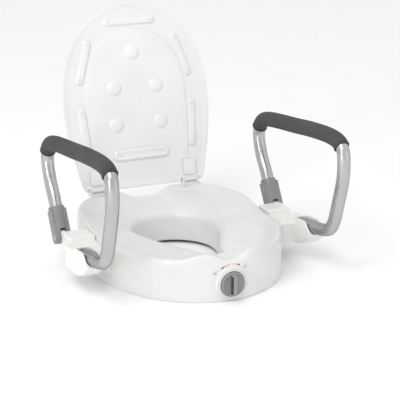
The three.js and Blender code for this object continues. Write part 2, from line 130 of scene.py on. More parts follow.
def seat_point(turn, t, drop=0.0):
    ox, oy = skirt_point(turn, rim_inset)
    hx, hy = hole_point(turn)
    # a soft crease follows the rim behind the sitting surface
    crease = crease_deep * math.exp(-(((t - crease_at) / crease_wide) ** 2))
    crease *= ease((oy - 0.05) / 0.08)
    return hx + (ox - hx) * t, hy + (oy - hy) * t, seat_level(turn, t) - drop - crease


def collar_level(turn):
    y = hole_point(turn)[1]
    return collar_low + collar_climb * ease((-y - 0.0658) / 0.070)


def clear_selection():
    if bpy.context.object and bpy.context.object.mode != "OBJECT":
        bpy.ops.object.mode_set(mode="OBJECT")
    bpy.ops.object.select_all(action="DESELECT")


def take(obj):
    clear_selection()
    obj.select_set(True)
    bpy.context.view_layer.objects.active = obj
    return obj


def apply_all(obj):
    take(obj)
    for modifier in list(obj.modifiers):
        bpy.ops.object.modifier_apply(modifier=modifier.name)


def settle(obj, degrees=40):
    take(obj)
    bpy.ops.object.transform_apply(location=True, rotation=True, scale=True)
    bpy.ops.object.mode_set(mode="EDIT")
    bpy.ops.mesh.select_all(action="SELECT")
    bpy.ops.mesh.remove_doubles(threshold=1e-6)
    bpy.ops.mesh.normals_make_consistent(inside=False)
    bpy.ops.object.mode_set(mode="OBJECT")
    bpy.ops.object.shade_smooth_by_angle(angle=math.radians(degrees))


def draw_up(name, rings, count, closed=True):
    """A circle is placed on the first ring of points, and its edge is drawn out ring by ring."""
    clear_selection()
    bpy.ops.mesh.primitive_circle_add(vertices=count, radius=1, fill_type="NOTHING")
    obj = bpy.context.object
    obj.name = obj.data.name = name
    for vertex, place in zip(obj.data.vertices, rings[0]):
        vertex.co = place
    bpy.ops.object.mode_set(mode="EDIT")
    bpy.ops.mesh.select_mode(type="EDGE")
    for before, after in zip(rings, rings[1:]):
        bpy.ops.mesh.extrude_edges_move(TRANSFORM_OT_translate={"value": (0, 0, 0)})
        mesh = bmesh.from_edit_mesh(obj.data)
        where = {tuple(round(c, 6) for c in Vector(p)): q for p, q in zip(before, after)}
        for vertex in [v for v in mesh.verts if v.select]:
            vertex.co = where[tuple(round(c, 6) for c in vertex.co)]
        bmesh.update_edit_mesh(obj.data)
    if closed:
        bpy.ops.mesh.select_all(action="SELECT")
        bpy.ops.mesh.remove_doubles(threshold=1e-7)
    else:
        bpy.ops.mesh.select_all(action="DESELECT")
        bpy.ops.mesh.select_non_manifold()
        bpy.ops.mesh.edge_face_add()
        bpy.ops.mesh.select_all(action="DESELECT")
    bpy.ops.object.mode_set(mode="OBJECT")
    return obj


def moulded(name, pale, deep, rough_low, rough_high, grain, bump, metallic=0.0, coat=0.0):
    """A finish with slow colour drift, a fine grain, and a gloss that varies over the surface."""
    finish = bpy.data.materials.new(name)
    finish.use_nodes = True
    nodes, links = finish.node_tree.nodes, finish.node_tree.links
    surface = nodes["Principled BSDF"]
    surface.inputs["Metallic"].default_value = metallic
    surface.inputs["Coat Weight"].default_value = coat
    surface.inputs["Coat Roughness"].default_value = 0.12
    place = nodes.new("ShaderNodeTexCoord")
    drift = nodes.new("ShaderNodeTexNoise")
    drift.inputs["Scale"].default_value = 14
    drift.inputs["Detail"].default_value = 3
    tint = nodes.new("ShaderNodeValToRGB")
    tint.color_ramp.elements[0].position, tint.color_ramp.elements[1].position = 0.3, 0.7
    tint.color_ramp.elements[0].color = (*deep, 1)
    tint.color_ramp.elements[1].color = (*pale, 1)
    fine = nodes.new("ShaderNodeTexNoise")
    fine.inputs["Scale"].default_value = grain
    fine.inputs["Detail"].default_value = 4
    gloss = nodes.new("ShaderNodeMapRange")
    gloss.inputs["To Min"].default_value = rough_low
    gloss.inputs["To Max"].default_value = rough_high
    relief = nodes.new("ShaderNodeBump")
    relief.inputs["Strength"].default_value = bump
    relief.inputs["Distance"].default_value = 0.1 * mm
    for noise in (drift, fine):
        links.new(place.outputs["Object"], noise.inputs["Vector"])
    links.new(drift.outputs["Fac"], tint.inputs["Fac"])
    links.new(tint.outputs["Color"], surface.inputs["Base Color"])
    links.new(fine.outputs["Fac"], gloss.inputs["Value"])
    links.new(gloss.outputs["Result"], surface.inputs["Roughness"])
    links.new(fine.outputs["Fac"], relief.inputs["Height"])
    links.new(relief.outputs["Normal"], surface.inputs["Normal"])
    return finish


def dress(obj, finish):
    obj.data.materials.clear()
    obj.data.materials.append(finish)


turns = [(i + 0.5) / around * 2 * math.pi for i in range(around)]
shell_rings = []


def shell_ring(point):
    shell_rings.append([point(t) for t in turns])


shell_ring(lambda t: (*skirt_point(t, 0.6 * mm), 0.0))
shell_ring(lambda t: (*skirt_point(t, 0), 1.2 * mm))
shell_ring(lambda t: (*skirt_point(t, 0), 0.030))
shell_ring(lambda t: (*skirt_point(t, 0), rim_of(t) - 0.022))
shell_ring(lambda t: (*skirt_point(t, 0.3 * mm), rim_of(t) - 0.011))
shell_ring(lambda t: (*skirt_point(t, 1.6 * mm), rim_of(t) - 0.0045))
shell_ring(lambda t: (*skirt_point(t, 4.4 * mm), rim_of(t) - 0.0008))
shell_ring(lambda t: (*skirt_point(t, rim_inset), rim_of(t)))
for share in (0.93, 0.86, 0.80, 0.74, 0.68, 0.58, 0.46, 0.34, 0.26, 0.19, 0.13, 0.08, 0.04):
    shell_ring(lambda t: seat_point(t, share, 1.2 * mm))
shell_ring(lambda t: (*hole_point(t, 1.2 * mm), seat_level(t, 0) - 1.6 * mm))
shell_ring(lambda t: (*hole_point(t, -0.4 * mm), seat_level(t, 0) - 4.5 * mm))
shell_ring(lambda t: (*hole_point(t, -1.6 * mm), seat_level(t, 0) - 10 * mm))
shell_ring(lambda t: (*hole_point(t, -2.6 * mm), (seat_level(t, 0) + collar_level(t)) / 2))
shell_ring(lambda t: (*hole_point(t, -3 * mm), collar_level(t) + 1 * mm))
shell_ring(lambda t: (*hole_point(t, -1.2 * mm), collar_level(t)))
shell_ring(lambda t: (*hole_point(t, 0.5 * mm), collar_level(t) + 1 * mm))
shell_ring(lambda t: (*hole_point(t, wall), seat_level(t, 0) - 8 * mm))
for share in (0.24, 0.5, 0.8):
    shell_ring(lambda t: seat_point(t, share, 1.2 * mm + wall))
shell_ring(lambda t: (*skirt_point(t, 9 * mm), rim_of(t) - wall - 1 * mm))
shell_ring(lambda t: (*skirt_point(t, wall), rim_of(t) - 0.014))
shell_ring(lambda t: (*skirt_point(t, wall), 0.030))
shell_ring(lambda t: (*skirt_point(t, wall), 1.2 * mm))
shell_ring(lambda t: (*skirt_point(t, wall - 0.6 * mm), 0.0))
shell_ring(lambda t: (*skirt_point(t, 0.6 * mm), 0.0))
shell = draw_up("seat_moulding", shell_rings, around)
shell.modifiers.new("round", "SUBSURF").levels = 2
shell.modifiers["round"].render_levels = 2
apply_all(shell)
settle(shell, 50)

white_plastic = moulded("white_plastic", (0.735, 0.735, 0.722), (0.685, 0.685, 0.67),
                        0.24, 0.36, 900, 0.10, coat=0.25)
dress(shell, white_plastic)
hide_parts("seat_shell")
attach(shell, "seat")

# ---- seat fittings ----
# Moulded parts of the same white plastic under and in front of the seat: the round boss that the
# knob's ring sits in, the posts of the rim pads, and the blocks behind the arm brackets.
knob_low, knob_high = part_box("knob")
knob_z = (knob_low.z + knob_high.z) / 2
bezel_low, bezel_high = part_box("knob_bezel")
bezel_r = (bezel_high.x - bezel_low.x) / 2


def turned(name, profile, count):
    """A round piece about the knob's axis from (radius, station) pairs, outside first."""
    spots = [2 * math.pi * i / count for i in range(count)]
    rings = [[(r * math.cos(a), y, knob_z + r * math.sin(a)) for a in spots]
             for r, y in profile]
    return draw_up(name, rings, count, closed=profile[0] == profile[-1])


boss_face = seat_low.y
boss_r = 0.0364
boss = turned("knob_boss", [
    (boss_r, boss_face + 11 * mm), (boss_r - 0.2 * mm, boss_face + 4.4 * mm),
    (boss_r - 0.9 * mm, boss_face + 2.4 * mm), (boss_r - 2.2 * mm, boss_face + 0.9 * mm),
    (boss_r - 3.6 * mm, boss_face + 0.2 * mm),
    (bezel_r + 0.8 * mm, boss_face), (bezel_r + 0.3 * mm, boss_face + 0.5 * mm),
    (bezel_r + 0.3 * mm, boss_face + 5.2 * mm), (0.0064, boss_face + 5.2 * mm),
    (0.0060, boss_face + 5.6 * mm), (0.0060, boss_face + 11 * mm),
    (boss_r, boss_face + 11 * mm)], 96)
settle(boss, 30)
dress(boss, white_plastic)
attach(boss, "seat")


def bevelled_block(name, low, high, bevel, finish):
    """A cube at its size and place, with its edges rounded."""
    clear_selection()
    middle = [(a + b) / 2 for a, b in zip(low, high)]
    bpy.ops.mesh.primitive_cube_add(size=1, location=middle)
    obj = bpy.context.object
    obj.name = obj.data.name = name
    obj.scale = [b - a for a, b in zip(low, high)]
    bpy.ops.object.transform_apply(location=False, rotation=False, scale=True)
    bpy.ops.object.mode_set(mode="EDIT")
    bpy.ops.mesh.select_all(action="SELECT")
    bpy.ops.mesh.bevel(offset=bevel, segments=3, profile=0.5)
    bpy.ops.object.mode_set(mode="OBJECT")
    settle(obj, 35)
    dress(obj, finish)
    return obj


post_tops = {"rear": 0.0765, "front": 0.0785}
backing_thick = 0.0189
for tag in "LR":
    for end, top in post_tops.items():
        pad_low, pad_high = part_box(f"rim_pad_{end}_{tag}")
        post = bevelled_block(
            f"pad_post_{end}_{tag}",
            (pad_low.x + 2 * mm, pad_low.y + 2 * mm, pad_high.z + 0.3 * mm),
            (pad_high.x - 2 * mm, pad_high.y - 2 * mm, top), 1.5 * mm, white_plastic)
        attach(post, "seat")
    inner = 0.1815 if tag == "R" else -0.1815 - backing_thick
    backing = bevelled_block(
        f"bracket_backing_{tag}",
        (inner, seat_mid - 0.074, 0.028), (inner + backing_thick, seat_mid + 0.050, 0.081),
        1.5 * mm, white_plastic)
    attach(backing, "seat")

# ---- rim pads ----
# Four soft rubber feet under the seat, pressed over the posts, that stand on the bowl rim.
pad_rubber = moulded("pad_rubber", (0.47, 0.47, 0.455), (0.38, 0.38, 0.37),
                     0.62, 0.85, 1600, 0.35)
for tag in "LR":
    for end in ("rear", "front"):
        dress(frame["nodes"][f"rim_pad_{end}_{tag}"], pad_rubber)

# ---- knob and its ring ----
# A grey moulded knob with a raised grip bar and a near-black strip of painted shade along one
# flank of it, standing for the shadow on that flank, turned in a white ring that is pressed into
# the boss. It screws the clamp jaw forward against the bowl.
knob_r = (knob_high.x - knob_low.x) / 2
knob_face = seat_low.y - 6.0 * mm
spindle_bore, face_bore = 5.3 * mm, 3.0 * mm
knob_grey = moulded("knob_grey", (0.295, 0.295, 0.285), (0.235, 0.236, 0.228),
                    0.34, 0.52, 1500, 0.30)
# A near-black finish used only to paint shade on one flank of the grip bar.
knob_dark = moulded("knob_dark", (0.055, 0.055, 0.055), (0.035, 0.035, 0.035),
                    0.45, 0.60, 1500, 0.20)
disc = turned("knob_disc", [
    (spindle_bore, seat_low.y + 4.0 * mm), (knob_r - 0.5 * mm, seat_low.y + 4.4 * mm),
    (knob_r, seat_low.y + 3.6 * mm), (knob_r, knob_face + 2.0 * mm),
    (knob_r - 0.5 * mm, knob_face + 0.7 * mm), (knob_r - 1.6 * mm, knob_face),
    (knob_r - 2.9 * mm, knob_face + 0.2 * mm), (knob_r - 4.2 * mm, knob_face + 2.2 * mm),
    (knob_r - 9 * mm, knob_face + 3.4 * mm), (face_bore, knob_face + 3.8 * mm),
    (face_bore, knob_face + 5.0 * mm), (spindle_bore, knob_face + 5.4 * mm),
    (spindle_bore, seat_low.y + 4.0 * mm)], 96)
disc.modifiers.new("round", "SUBSURF").levels = 1
disc.modifiers["round"].render_levels = 1
apply_all(disc)
settle(disc, 50)
dress(disc, knob_grey)

clear_selection()
bar_back, bar_front = knob_face + 4.2 * mm, knob_low.y
bpy.ops.mesh.primitive_cube_add(size=1, location=(0, (bar_back + bar_front) / 2, knob_z))
grip_bar = bpy.context.object
grip_bar.name = grip_bar.data.name = "knob_grip_bar"
bar_half, bar_taper, end_taper = 5.5 * mm, 0.70, 0.82
shade_strip_half = 21 * mm
grip_bar.scale = (2 * bar_half, bar_back - bar_front, 2 * knob_r - 5 * mm)
bpy.ops.object.transform_apply(location=True, rotation=False, scale=True)
for vertex in grip_bar.data.vertices:
    if vertex.co.y < (bar_back + bar_front) / 2:
        vertex.co.x *= bar_taper
        vertex.co.z = knob_z + (vertex.co.z - knob_z) * end_taper
bpy.ops.object.mode_set(mode="EDIT")
bpy.ops.mesh.select_all(action="SELECT")
bpy.ops.mesh.bevel(offset=1.3 * mm, segments=4, profile=0.6)
bpy.ops.object.mode_set(mode="OBJECT")
settle(grip_bar, 40)
dress(grip_bar, knob_grey)

# Painted shade: a near-black strip on the grip bar's left flank stands in for the shadow on that
# flank.
flank_shade_strip = bevelled_block("knob_pointer",
                         (-bar_half - 0.4 * mm, bar_front + 1.4 * mm, knob_z - shade_strip_half),
                         (-bar_half + 1.4 * mm, knob_face + 1.2 * mm, knob_z + shade_strip_half),
                         0.3 * mm, knob_dark)
for vertex in flank_shade_strip.data.vertices:
    along = (bar_back - vertex.co.y) / (bar_back - bar_front)
    vertex.co.x += bar_half * (1 - bar_taper) * along
    vertex.co.z = knob_z + (vertex.co.z - knob_z) * (1 - (1 - end_taper) * along)
for piece in (disc, grip_bar, flank_shade_strip):
    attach(piece, "knob_turn")
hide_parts("knob")

bezel = turned("knob_ring", [
    (bezel_r, bezel_high.y), (bezel_r, bezel_low.y + 1.6 * mm),
    (bezel_r - 0.5 * mm, bezel_low.y + 0.5 * mm), (bezel_r - 1.6 * mm, bezel_low.y),
    (knob_r + 2.2 * mm, bezel_low.y), (knob_r + 1.2 * mm, bezel_low.y + 0.5 * mm),
    (knob_r + 1.0 * mm, bezel_low.y + 1.4 * mm), (knob_r + 1.0 * mm, bezel_high.y),
    (bezel_r, bezel_high.y)], 96)
settle(bezel, 35)
dress(bezel, white_plastic)
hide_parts("knob_bezel")
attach(bezel, "seat")

# ---- turning marks ----
# Two small arrows and an open and a closed padlock, printed on the skirt above the knob to show
# which way clamps the seat. Each is a film of ink a quarter of a millimetre thick.
arrow_ink = moulded("arrow_ink", (0.80, 0.22, 0.055), (0.55, 0.13, 0.04), 0.40, 0.55, 1800, 0.15)
arrow_dark_ink = moulded("arrow_dark_ink", (0.16, 0.11, 0.09), (0.10, 0.075, 0.065),
                         0.40, 0.55, 1800, 0.15)
print_from = seat_low.y - 8 * mm
lock_ink = moulded("lock_ink", (0.52, 0.53, 0.49), (0.43, 0.44, 0.41), 0.40, 0.55, 1800, 0.15)


def arc_strip(name, start, end, radius, wide_start, wide_end, steps=24):
    """A strip along an arc about the knob, in degrees from +X, that changes width along it."""
    clear_selection()
    bpy.ops.mesh.primitive_grid_add(x_subdivisions=steps, y_subdivisions=2, size=1)
    obj = bpy.context.object
    obj.name = obj.data.name = name
    for vertex in obj.data.vertices:
        t, across = vertex.co.x + 0.5, vertex.co.y
        a = math.radians(start + (end - start) * t)
        r = radius + across * (wide_start + (wide_end - wide_start) * t)
        vertex.co = (r * math.cos(a), print_from, knob_z + r * math.sin(a))
    return obj


def print_on_skirt(obj, ink):
    lay = obj.modifiers.new("lay", "SHRINKWRAP")
    lay.target = shell
    lay.wrap_method = "PROJECT"
    lay.use_project_x = lay.use_project_z = False
    lay.use_project_y = lay.use_positive_direction = True
    lay.use_negative_direction = False
    lay.offset = 0.12 * mm
    film = obj.modifiers.new("film", "SOLIDIFY")
    film.thickness = 0.25 * mm
    film.offset = 0
    apply_all(obj)
    settle(obj, 40)
    dress(obj, ink)
    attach(obj, "seat")


mark_r, lock_r = 0.0405, 0.0435
for name, tail, neck, tip in (("arrow_open", 94, 117, 127), ("arrow_shut", 89, 71, 62)):
    print_on_skirt(arc_strip(f"{name}_tail", tail, neck, mark_r, 0.9 * mm, 1.7 * mm), arrow_ink)
    print_on_skirt(arc_strip(f"{name}_head", neck, tip, mark_r, 4.4 * mm, 0.3 * mm), arrow_dark_ink)
for name, at, swing in (("lock_open", 146, 6 * mm), ("lock_shut", 45, 0.0)):
    lx, lz = lock_r * math.cos(math.radians(at)), lock_r * math.sin(math.radians(at))
    clear_selection()
    bpy.ops.mesh.primitive_grid_add(x_subdivisions=6, y_subdivisions=6, size=1)
    body = bpy.context.object
    body.name = body.data.name = f"{name}_body"
    for vertex in body.data.vertices:
        vertex.co = (lx + vertex.co.x * 7.4 * mm, print_from,
                     knob_z + lz + vertex.co.y * 5.8 * mm)
    print_on_skirt(body, lock_ink)
    clear_selection()
    bpy.ops.mesh.primitive_grid_add(x_subdivisions=20, y_subdivisions=2, size=1)
    bow = bpy.context.object
    bow.name = bow.data.name = f"{name}_bow"
    for vertex in bow.data.vertices:
        a = math.pi * (vertex.co.x + 0.5)
        r = 2.7 * mm + vertex.co.y * 1.1 * mm
        vertex.co = (lx + swing * 0.7 + r * math.cos(a), print_from,
                     knob_z + lz + 3.4 * mm + r * 1.25 * math.sin(a))
    print_on_skirt(bow, lock_ink)

# ---- clamp ----
# A grey box guide behind the skirt holds a sliding jaw with a rubber face. A hex nut set in the
# jaw runs on the steel spindle, which a black collar keeps from pulling out.
clamp_grey = moulded("clamp_grey", (0.265, 0.27, 0.275), (0.21, 0.215, 0.22),
                     0.40, 0.58, 1300, 0.30)
bright_steel = moulded("bright_steel", (0.60, 0.61, 0.62), (0.50, 0.51, 0.52),
                       0.22, 0.38, 2200, 0.12, metallic=1.0)
black_plastic = moulded("black_plastic", (0.040, 0.041, 0.042), (0.028, 0.029, 0.030),
                        0.40, 0.55, 1500, 0.25)
dress(frame["nodes"]["spindle"], bright_steel)
dress(frame["nodes"]["jaw_nut"], bright_steel)
dress(frame["nodes"]["jaw_pad"], pad_rubber)
dress(frame["nodes"]["spindle_collar"], black_plastic)


def softened_copy(node, name, bevel, finish, body, angle=30):
    """A copy of a CAD node with its flat faces joined up and its edges rounded."""
    obj = frame["nodes"][node].copy()
    obj.data = obj.data.copy()
    obj.name = obj.data.name = name
    for key in list(obj.keys()):
        del obj[key]
    obj.parent = None
    bpy.context.scene.collection.objects.link(obj)
    take(obj)
    bpy.ops.object.mode_set(mode="EDIT")
    bpy.ops.mesh.select_all(action="SELECT")
    bpy.ops.mesh.remove_doubles(threshold=1e-5)
    bpy.ops.mesh.dissolve_limited(angle_limit=math.radians(1))
    bpy.ops.object.mode_set(mode="OBJECT")
    edge = obj.modifiers.new("edge", "BEVEL")
    edge.width = bevel
    edge.segments = 3
    edge.limit_method = "ANGLE"
    edge.angle_limit = math.radians(angle)
    edge.harden_normals = False
    apply_all(obj)
    settle(obj, 35)
    dress(obj, finish)
    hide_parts(node)
    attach(obj, body)
    return obj


softened_copy("clamp_guide", "clamp_box", 0.8 * mm, clamp_grey, "seat")
softened_copy("clamp_jaw", "clamp_slide", 0.8 * mm, clamp_grey, "jaw_slide")

# ---- lid ----
# A thin white moulded lid with a turned-in edge, a slightly raised oval panel, and moulded
# bumps and rails that rest on the seat. It hangs on two hinges and stands leaning back.
lid_lean = math.radians(13.2)
hinge_at = Vector((0, *frame["record"]["behaviour"]["joints"][0]["pos_m"][1:]))
lid_long, lid_low_edge, lid_half_wide = 0.410, -0.004, 0.174
lid_heart = lid_low_edge + 0.46 * lid_long
lid_plastic = moulded("lid_plastic", (0.775, 0.775, 0.762), (0.73, 0.73, 0.717),
                      0.28, 0.40, 900, 0.10, coat=0.15)


def lid_half(v):
    t = v / lid_long
    low = 0.82 + 0.18 * math.sin(min(t, 0.46) / 0.46 * math.pi / 2)
    corner = math.sqrt(max(0.0, 1 - max(0.0, 1 - v / 0.014) ** 2))
    crown = max(0.0, 1 - ((t - 0.46) / 0.54) ** 2.3) ** 0.5 if t > 0.46 else 1.0
    return lid_half_wide * low * (0.94 + 0.06 * corner) * crown


def lid_reach(turn):
    c, s = math.cos(turn), math.sin(turn)
    near, far = 0.0, 0.30
    for _ in range(40):
        r = (near + far) / 2
        v = lid_heart + r * s - lid_low_edge
        if 0 <= v <= lid_long and abs(r * c) <= lid_half(v):
            near = r
        else:
            far = r
    return near


lid_around = 192
lid_turns = [(i + 0.5) / lid_around * 2 * math.pi for i in range(lid_around)]
lid_reaches = [lid_reach(t) for t in lid_turns]


def lid_ring(inset, z, fade=False):
    ring = []
    for turn, reach in zip(lid_turns, lid_reaches):
        r = reach - inset
        low_end = ease((math.sin(turn) + 0.95) / 0.35)
        level = z * low_end if fade else z
        ring.append((r * math.cos(turn), lid_heart + r * math.sin(turn), level))
    return ring


def pinch(share, z):
    return [(r * share * math.cos(t), lid_heart + r * share * math.sin(t), z)
            for t, r in zip(lid_turns, lid_reaches)]


lid_rings = [pinch(0.03, -5.6 * mm), pinch(0.45, -5.3 * mm), pinch(0.8, -4.6 * mm),
             lid_ring(0.012, -4.1 * mm), lid_ring(0.004, -3.6 * mm), lid_ring(0.0012, -2.4 * mm),
             lid_ring(0, -0.6 * mm), lid_ring(0, 1.2 * mm), lid_ring(0.0007, 2.3 * mm),
             lid_ring(0.0022, 2.8 * mm), lid_ring(0.0045, 2.5 * mm), lid_ring(0.009, 1.3 * mm),
             lid_ring(0.0145, 0.3 * mm), lid_ring(0.020, 0), lid_ring(0.0515, 0),
             lid_ring(0.0535, 0.1 * mm), lid_ring(0.0556, 2.4 * mm, True),
             lid_ring(0.0576, 2.8 * mm, True), lid_ring(0.075, 2.8 * mm, True),
             pinch(0.25, 2.6 * mm), pinch(0.03, 2.6 * mm)]
lid = draw_up("lid_panel", lid_rings, lid_around, closed=False)
settle(lid, 60)


def cut_away(obj, low, high):
    clear_selection()
    middle = [(a + b) / 2 for a, b in zip(low, high)]
    bpy.ops.mesh.primitive_cube_add(size=1, location=middle)
    cutter = bpy.context.object
    cutter.scale = [b - a for a, b in zip(low, high)]
    bpy.ops.object.transform_apply(location=True, rotation=False, scale=True)
    cut = obj.modifiers.new("cut", "BOOLEAN")
    cut.object = cutter
    cut.solver = "EXACT"
    apply_all(obj)
    bpy.data.objects.remove(cutter)


hinge_x = 0.112
rail_r, rail_tall = 9 * mm, 4.4 * mm
bump_r, panel_base = 16.5 * mm, 2.6 * mm
cut_away(lid, (-0.012, lid_low_edge + lid_long - 0.0055, -1 * mm), (0.012, 0.42, 8 * mm))
for side in (-1, 1):
    x = side * hinge_x
    cut_away(lid, (x - 0.015, -0.010, 0), (x + 0.015, 0.048, 8 * mm))
    cut_away(lid, (x - 0.0225, -0.010, -8 * mm), (x + 0.0225, 0.0085, 8 * mm))


def stand_lid(obj):
    obj.matrix_world = (Matrix.Translation(hinge_at)
                        @ Matrix.Rotation(math.pi / 2 - lid_lean, 4, "X") @ obj.matrix_world)
    settle(obj, 35)
    dress(obj, lid_plastic)
    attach(obj, "lid_leaf")


def lid_pad(name, ends, radius, base, tall, crown):
    """A round or long pad with soft flanks. ends are one or two centres in lid coordinates."""
    (x0, v0), (x1, v1) = ends[0], ends[-1]
    heading = math.atan2(v1 - v0, x1 - x0)
    count = 64
    rings = []
    profile = [(radius + 1.2 * mm, base - 1 * mm), (radius + 1 * mm, base + 0.1 * mm)]
    if crown == "domed":
        profile += [(radius - 1.2 * mm, base + tall * 0.30),
                    (radius - 3.6 * mm, base + tall * 0.62), (radius - 7 * mm, base + tall * 0.88),
                    (radius - 11 * mm, base + tall), (0.4 * mm, base + tall * 1.04)]
    else:
        profile += [(radius - 0.6 * mm, base + 0.6 * mm), (radius - 1.8 * mm, base + tall * 0.82),
                    (radius - 3.4 * mm, base + tall)]
    if crown == "dished":
        profile += [(radius - 5 * mm, base + tall * 0.8), (radius - 7.5 * mm, base + tall * 0.35),
                    (0.4 * mm, base + tall * 0.2)]
    if crown == "flat":
        profile += [(0.4 * mm, base + tall * 1.05)]
    for r, z in profile:
        ring = []
        for i in range(count):
            a = 2 * math.pi * (i + 0.5) / count
            cx, cv = (x1, v1) if math.cos(a) > 0 else (x0, v0)
            ring.append((cx + r * math.cos(a + heading), cv + r * math.sin(a + heading), z))
        rings.append(ring)
    obj = draw_up(name, rings, count, closed=False)
    obj.modifiers.new("round", "SUBSURF").levels = 1
    obj.modifiers["round"].render_levels = 1
    apply_all(obj)
    return obj


def own_copy(obj, name, move):
    """A copy with its own mesh, moved or mirrored by the matrix."""
    other = obj.copy()
    other.data = obj.data.copy()
    other.name = other.data.name = name
    bpy.context.scene.collection.objects.link(other)
    other.data.transform(move)
    return other


bump_spots = [(0, 0.298), (0.050, 0.220), (-0.050, 0.220), (0.053, 0.138), (-0.053, 0.138)]
bump_x, bump_v = bump_spots[0]
bump = lid_pad("lid_bump_1", bump_spots[:1], bump_r, panel_base, 4.4 * mm, "domed")
lid_pads = [bump] + [
    own_copy(bump, f"lid_bump_{i + 2}", Matrix.Translation((x - bump_x, v - bump_v, 0)))
    for i, (x, v) in enumerate(bump_spots[1:])]
lid_pads += [
    lid_pad("lid_rail_low", [(-0.054, 0.070), (0.054, 0.070)], 11.5 * mm, panel_base, 2.2 * mm,
            "dished"),
    lid_pad("lid_rail_top", [(-0.052, 0.367), (0.052, 0.367)], rail_r, 0, rail_tall, "flat")]
left_rails = [
    lid_pad("lid_rail_upper_L", [(-0.104, 0.322), (-0.129, 0.243)], rail_r, 0, rail_tall, "flat"),
    lid_pad("lid_rail_side_L", [(-0.132, 0.172), (-0.125, 0.084)], rail_r, 0, rail_tall, "flat")]
lid_pads += left_rails + [
    own_copy(rail, rail.name[:-1] + "R", Matrix.Scale(-1, 4, (1, 0, 0))) for rail in left_rails]
for pad in lid_pads:
    stand_lid(pad)
stand_lid(lid)
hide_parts("lid")

# ---- lid hinges ----
# A white block on each rear lobe, a strap screwed to the lid with two steel screws under a
# snap-on cover, and a steel pin through both.
cover_half, cover_low, cover_high, cover_wall = 14.2 * mm, 10 * mm, 45 * mm, 0.8 * mm
left_cover = bevelled_block("hinge_cover_L", (-hinge_x - cover_half, cover_low, 0.4 * mm),
                            (-hinge_x + cover_half, cover_high, 6.2 * mm), 1.4 * mm, lid_plastic)
cut_away(left_cover, (-hinge_x - cover_half + cover_wall, 5 * mm, -1 * mm),
         (-hinge_x + cover_half - cover_wall, cover_high - 1 * mm, 5.4 * mm))
right_cover = own_copy(left_cover, "hinge_cover_R", Matrix.Translation((2 * hinge_x, 0, 0)))
for cover in (left_cover, right_cover):
    stand_lid(cover)
for tag in "LR":
    softened_copy(f"hinge_block_{tag}", f"hinge_seat_{tag}", 0.7 * mm, white_plastic,
                  "seat")
    softened_copy(f"hinge_leaf_{tag}", f"hinge_strap_{tag}", 0.5 * mm, lid_plastic,
                  "lid_leaf")
    for node in (f"hinge_pin_{tag}", f"leaf_screw_low_{tag}", f"leaf_screw_high_{tag}"):
        dress(frame["nodes"][node], bright_steel)

# ---- arm brackets ----
# White moulded brackets bolted through the skirt. Each has a block that carries the arm's pivot
# and, in front of it, an open trough that the foot of the arm rests in.
bracket_plastic = moulded("bracket_plastic", (0.80, 0.80, 0.782), (0.745, 0.745, 0.725),
                          0.28, 0.42, 900, 0.14, coat=0.15)
for tag in "LR":
    bracket = softened_copy(f"arm_bracket_{tag}", f"bracket_{tag}", 0.4 * mm, bracket_plastic,
                            "seat")
    cast = bracket.modifiers.new("cast", "REMESH")
    cast.mode = "VOXEL"
    cast.voxel_size = 1.1 * mm
    ease_edges = bracket.modifiers.new("ease_edges", "SMOOTH")
    ease_edges.factor = 0.6
    ease_edges.iterations = 22
    apply_all(bracket)
    settle(bracket, 60)
    for node in (f"bracket_screw_front_{tag}", f"bracket_screw_rear_{tag}", f"pivot_pin_{tag}"):
        dress(frame["nodes"][node], bright_steel)

# ---- arm tubes ----
# Each arm is one 27 mm aluminium tube, bent into an open loop and satin anodised. Its rear leg
# is riveted into the sleeve, and its foot lies in the trough with a black plug in the end.
arm_x = 0.250
arm_row = 0.0358
tube_r = 13.5 * mm
pivot = Vector((0, *frame["record"]["behaviour"]["joints"][1]["pos_m"][1:]))
leg_lean = math.radians(31)


def leg_at(d):
    return pivot.y + d * math.sin(leg_lean), pivot.z + d * math.cos(leg_lean)


def foot_at(y):
    return y - arm_row, 0.0765 - (y + 0.058) * 0.142


loop_shape = [(-160, 92.5), (-184, 103), (-199, 124), (-209, 152), (-220, 186), (-230, 222),
              (-232, 252), (-228, 279), (-212, 294), (-180, 299), (-100, 294.5), (-20, 285),
              (60, 276), (108, 269), (134, 261), (150, 246), (156, 224), (150, 198), (137, 172)]
arm_route = ([foot_at(-0.058), foot_at(-0.088), foot_at(-0.128)]
             + [(y * mm - arm_row, z * mm) for y, z in loop_shape]
             + [leg_at(0.090), leg_at(0.066), leg_at(0.022)])


def smooth_line(points, per_span):
    """A centripetal curve through the points, so that it bends as the tube does."""
    pts = [Vector((0, y, z)) for y, z in points]
    pts = [2 * pts[0] - pts[1]] + pts + [2 * pts[-1] - pts[-2]]
    out = []
    for a, b, c, d in zip(pts, pts[1:], pts[2:], pts[3:]):
        t0 = 0.0
        t1 = t0 + (b - a).length ** 0.5
        t2 = t1 + (c - b).length ** 0.5
        t3 = t2 + (d - c).length ** 0.5
        for k in range(per_span):
            t = t1 + (t2 - t1) * k / per_span
            p = a * ((t1 - t) / (t1 - t0)) + b * ((t - t0) / (t1 - t0))
            q = b * ((t2 - t) / (t2 - t1)) + c * ((t - t1) / (t2 - t1))
            r = c * ((t3 - t) / (t3 - t2)) + d * ((t - t2) / (t3 - t2))
            u = p * ((t2 - t) / (t2 - t0)) + q * ((t - t0) / (t2 - t0))
            w = q * ((t3 - t) / (t3 - t1)) + r * ((t - t1) / (t3 - t1))
            out.append(u * ((t2 - t) / (t2 - t1)) + w * ((t - t1) / (t2 - t1)))
    out.append(pts[-2])
    return out


arm_line = smooth_line(arm_route, 8)
arm_sides = 40


def round_line(line, i, radius, x, back=0.0):
    """A ring of points square to the line at its i-th point."""
    heading = (line[min(i + 1, len(line) - 1)] - line[max(i - 1, 0)]).normalized()
    up = Vector((0, -heading.z, heading.y))
    ring = []
    for j in range(arm_sides):
        a = 2 * math.pi * j / arm_sides
        p = line[i] + heading * back + up * (radius * math.sin(a))
        ring.append((x + radius * math.cos(a), p.y, p.z))
    return ring


